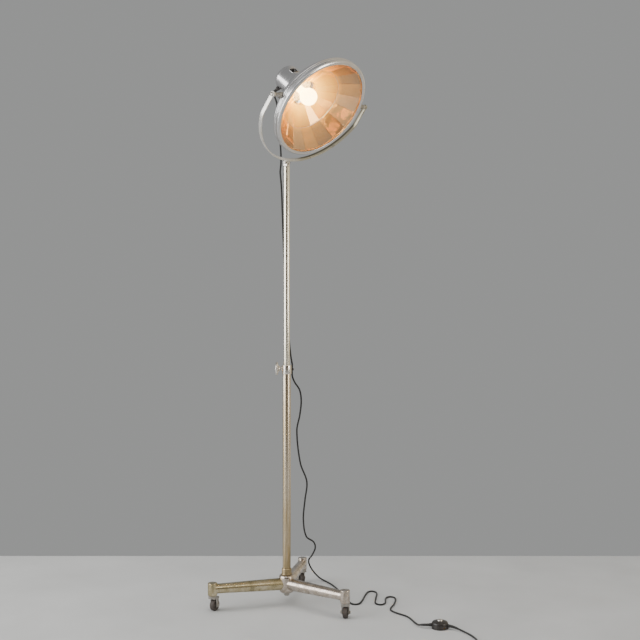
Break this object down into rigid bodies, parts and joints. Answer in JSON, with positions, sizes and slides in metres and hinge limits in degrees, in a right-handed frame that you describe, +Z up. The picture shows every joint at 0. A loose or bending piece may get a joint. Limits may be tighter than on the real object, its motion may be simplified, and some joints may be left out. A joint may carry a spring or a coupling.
{
  "type": "surgical floor light",
  "caption": "Old surgical floor light: three-legged caster stand, telescopic column, bow yoke, round mirrored lamp head, cloth flex with foot switch and plug.",
  "frame": {"origin": "on the floor, under the middle of the footprint of the light without its flex", "axes": "+Z up along the column; the leg beside the clamp knob points to -X, and the beam leans towards +X and -Y"},
  "size_m": [0.9896, 0.8911, 1.8805],
  "materials": {
    "nickel_bright": "polished nickel plate",
    "nickel_worn": "nickel plate worn through to brass",
    "aluminium_spun": "satin, spun",
    "mirror_glass": "silvered mirror",
    "clear_glass": "clear",
    "lamp_glass": "lit lamp",
    "brass": "turned",
    "steel": "satin",
    "wheel_rubber": "matt, worn",
    "porcelain": "glazed",
    "black_plastic": "bakelite",
    "rubber": "matt",
    "cotton_braid": "woven braid"
  },
  "bodies": {
    "stand": {"base_hub": "nickel_worn", "column_foot_collar": "nickel_worn", "column_foot_plug": "steel", "column_bolt": "steel", "leg_rear": "nickel_worn", "leg_left": "nickel_worn", "leg_right": "nickel_worn", "lower_tube": "nickel_worn", "guide_bush": "brass", "clamp_collar": "nickel_bright", "cord_tie": "black_plastic", "cord_lower": "cotton_braid", "cord_mains": "cotton_braid", "cord_coil": "cotton_braid", "plug_body": "black_plastic", "switch_base": "black_plastic", "switch_cover": "black_plastic", "switch_spring": "steel", "switch_in_grommet": "rubber", "switch_out_grommet": "rubber"},
    "caster_rear": {"caster_rear_fork": "steel", "caster_rear_axle": "steel"},
    "wheel_rear": {"caster_rear_wheel": "wheel_rubber"},
    "caster_left": {"caster_left_fork": "steel", "caster_left_axle": "steel"},
    "wheel_left": {"caster_left_wheel": "wheel_rubber"},
    "caster_right": {"caster_right_fork": "steel", "caster_right_axle": "steel"},
    "wheel_right": {"caster_right_wheel": "wheel_rubber"},
    "clamp_handle": {"clamp_screw": "steel", "clamp_knob": "nickel_bright"},
    "inner_column": {"inner_tube": "nickel_bright", "inner_tube_foot": "brass", "swivel_bush": "brass", "cord_column": "cotton_braid"},
    "swivel": {"swivel_head": "nickel_bright", "knuckle_bolt": "steel", "knuckle_nut": "steel", "cord_swivel": "cotton_braid"},
    "yoke": {"yoke_bow": "nickel_bright", "trunnion_left_screw": "steel", "trunnion_right_screw": "steel", "trunnion_left_nut": "nickel_bright", "trunnion_right_nut": "nickel_bright", "cord_yoke": "cotton_braid"},
    "head": {"head_shell": "aluminium_spun", "bezel_ring": "aluminium_spun", "front_glass": "clear_glass", "glass_gasket": "rubber", "reflector_front_mirrors": "mirror_glass", "reflector_rear_mirrors": "mirror_glass", "rear_cap": "aluminium_spun", "lamp_holder": "porcelain", "lamp_screw_cap": "brass", "lamp_glass": "lamp_glass", "cord_gland": "black_plastic", "trunnion_left_bracket": "steel", "trunnion_right_bracket": "steel", "cord_head": "cotton_braid"},
    "foot_button": {"switch_button": "nickel_bright"}
  },
  "joints": [
    {"name": "caster_rear_swivel", "type": "hinge", "parent": "stand", "child": "caster_rear", "pos_m": [0.04315, 0.25948, 0.05], "axis": [0, 0, 1], "continuous": true},
    {"name": "wheel_rear_roll", "type": "hinge", "parent": "caster_rear", "child": "wheel_rear", "pos_m": [0.03716, 0.26987, 0.02], "axis": [-0.866, -0.5, 0], "continuous": true},
    {"name": "caster_left_swivel", "type": "hinge", "parent": "stand", "child": "caster_left", "pos_m": [-0.25971, -0.0877, 0.05], "axis": [0, 0, 1], "continuous": true},
    {"name": "wheel_left_roll", "type": "hinge", "parent": "caster_left", "child": "wheel_left", "pos_m": [-0.25371, -0.07731, 0.02], "axis": [-0.866, 0.5, 0], "continuous": true},
    {"name": "caster_right_swivel", "type": "hinge", "parent": "stand", "child": "caster_right", "pos_m": [0.19239, -0.1764, 0.05], "axis": [0, 0, 1], "continuous": true},
    {"name": "wheel_right_roll", "type": "hinge", "parent": "caster_right", "child": "wheel_right", "pos_m": [0.19448, -0.16459, 0.02], "axis": [-0.9848, 0.1736, 0], "continuous": true},
    {"name": "clamp_screw_turn", "type": "hinge", "parent": "stand", "child": "clamp_handle", "pos_m": [-0.00806, -0.00154, 0.8245], "axis": [-1, 0, 0], "range_deg": [0, 540]},
    {"name": "column_height", "type": "slide", "parent": "stand", "child": "inner_column", "axis": [0, 0, 1], "range_m": [-0.56, 0.05], "deforming": ["cord_column"]},
    {"name": "yoke_swivel", "type": "hinge", "parent": "inner_column", "child": "swivel", "pos_m": [-0.00806, -0.00154, 1.545], "axis": [0, 0, 1], "range_deg": [-170, 170]},
    {"name": "yoke_lean", "type": "hinge", "parent": "swivel", "child": "yoke", "pos_m": [-0.00806, -0.00154, 1.545], "axis": [0.6756, 0.7373, 0], "range_deg": [-38.5, 35], "deforming": ["cord_swivel"]},
    {"name": "head_tilt", "type": "hinge", "parent": "yoke", "child": "head", "pos_m": [0.11036, -0.11005, 1.74691], "axis": [0.6756, 0.7373, 0], "range_deg": [-60, 60], "deforming": ["cord_yoke"]},
    {"name": "foot_button_press", "type": "slide", "parent": "stand", "child": "foot_button", "axis": [0, 0, -1], "range_m": [0, 0.003], "stiffness_N_per_m": 900, "springref_m": -0.002, "deforming": ["switch_spring"]}
  ]
}
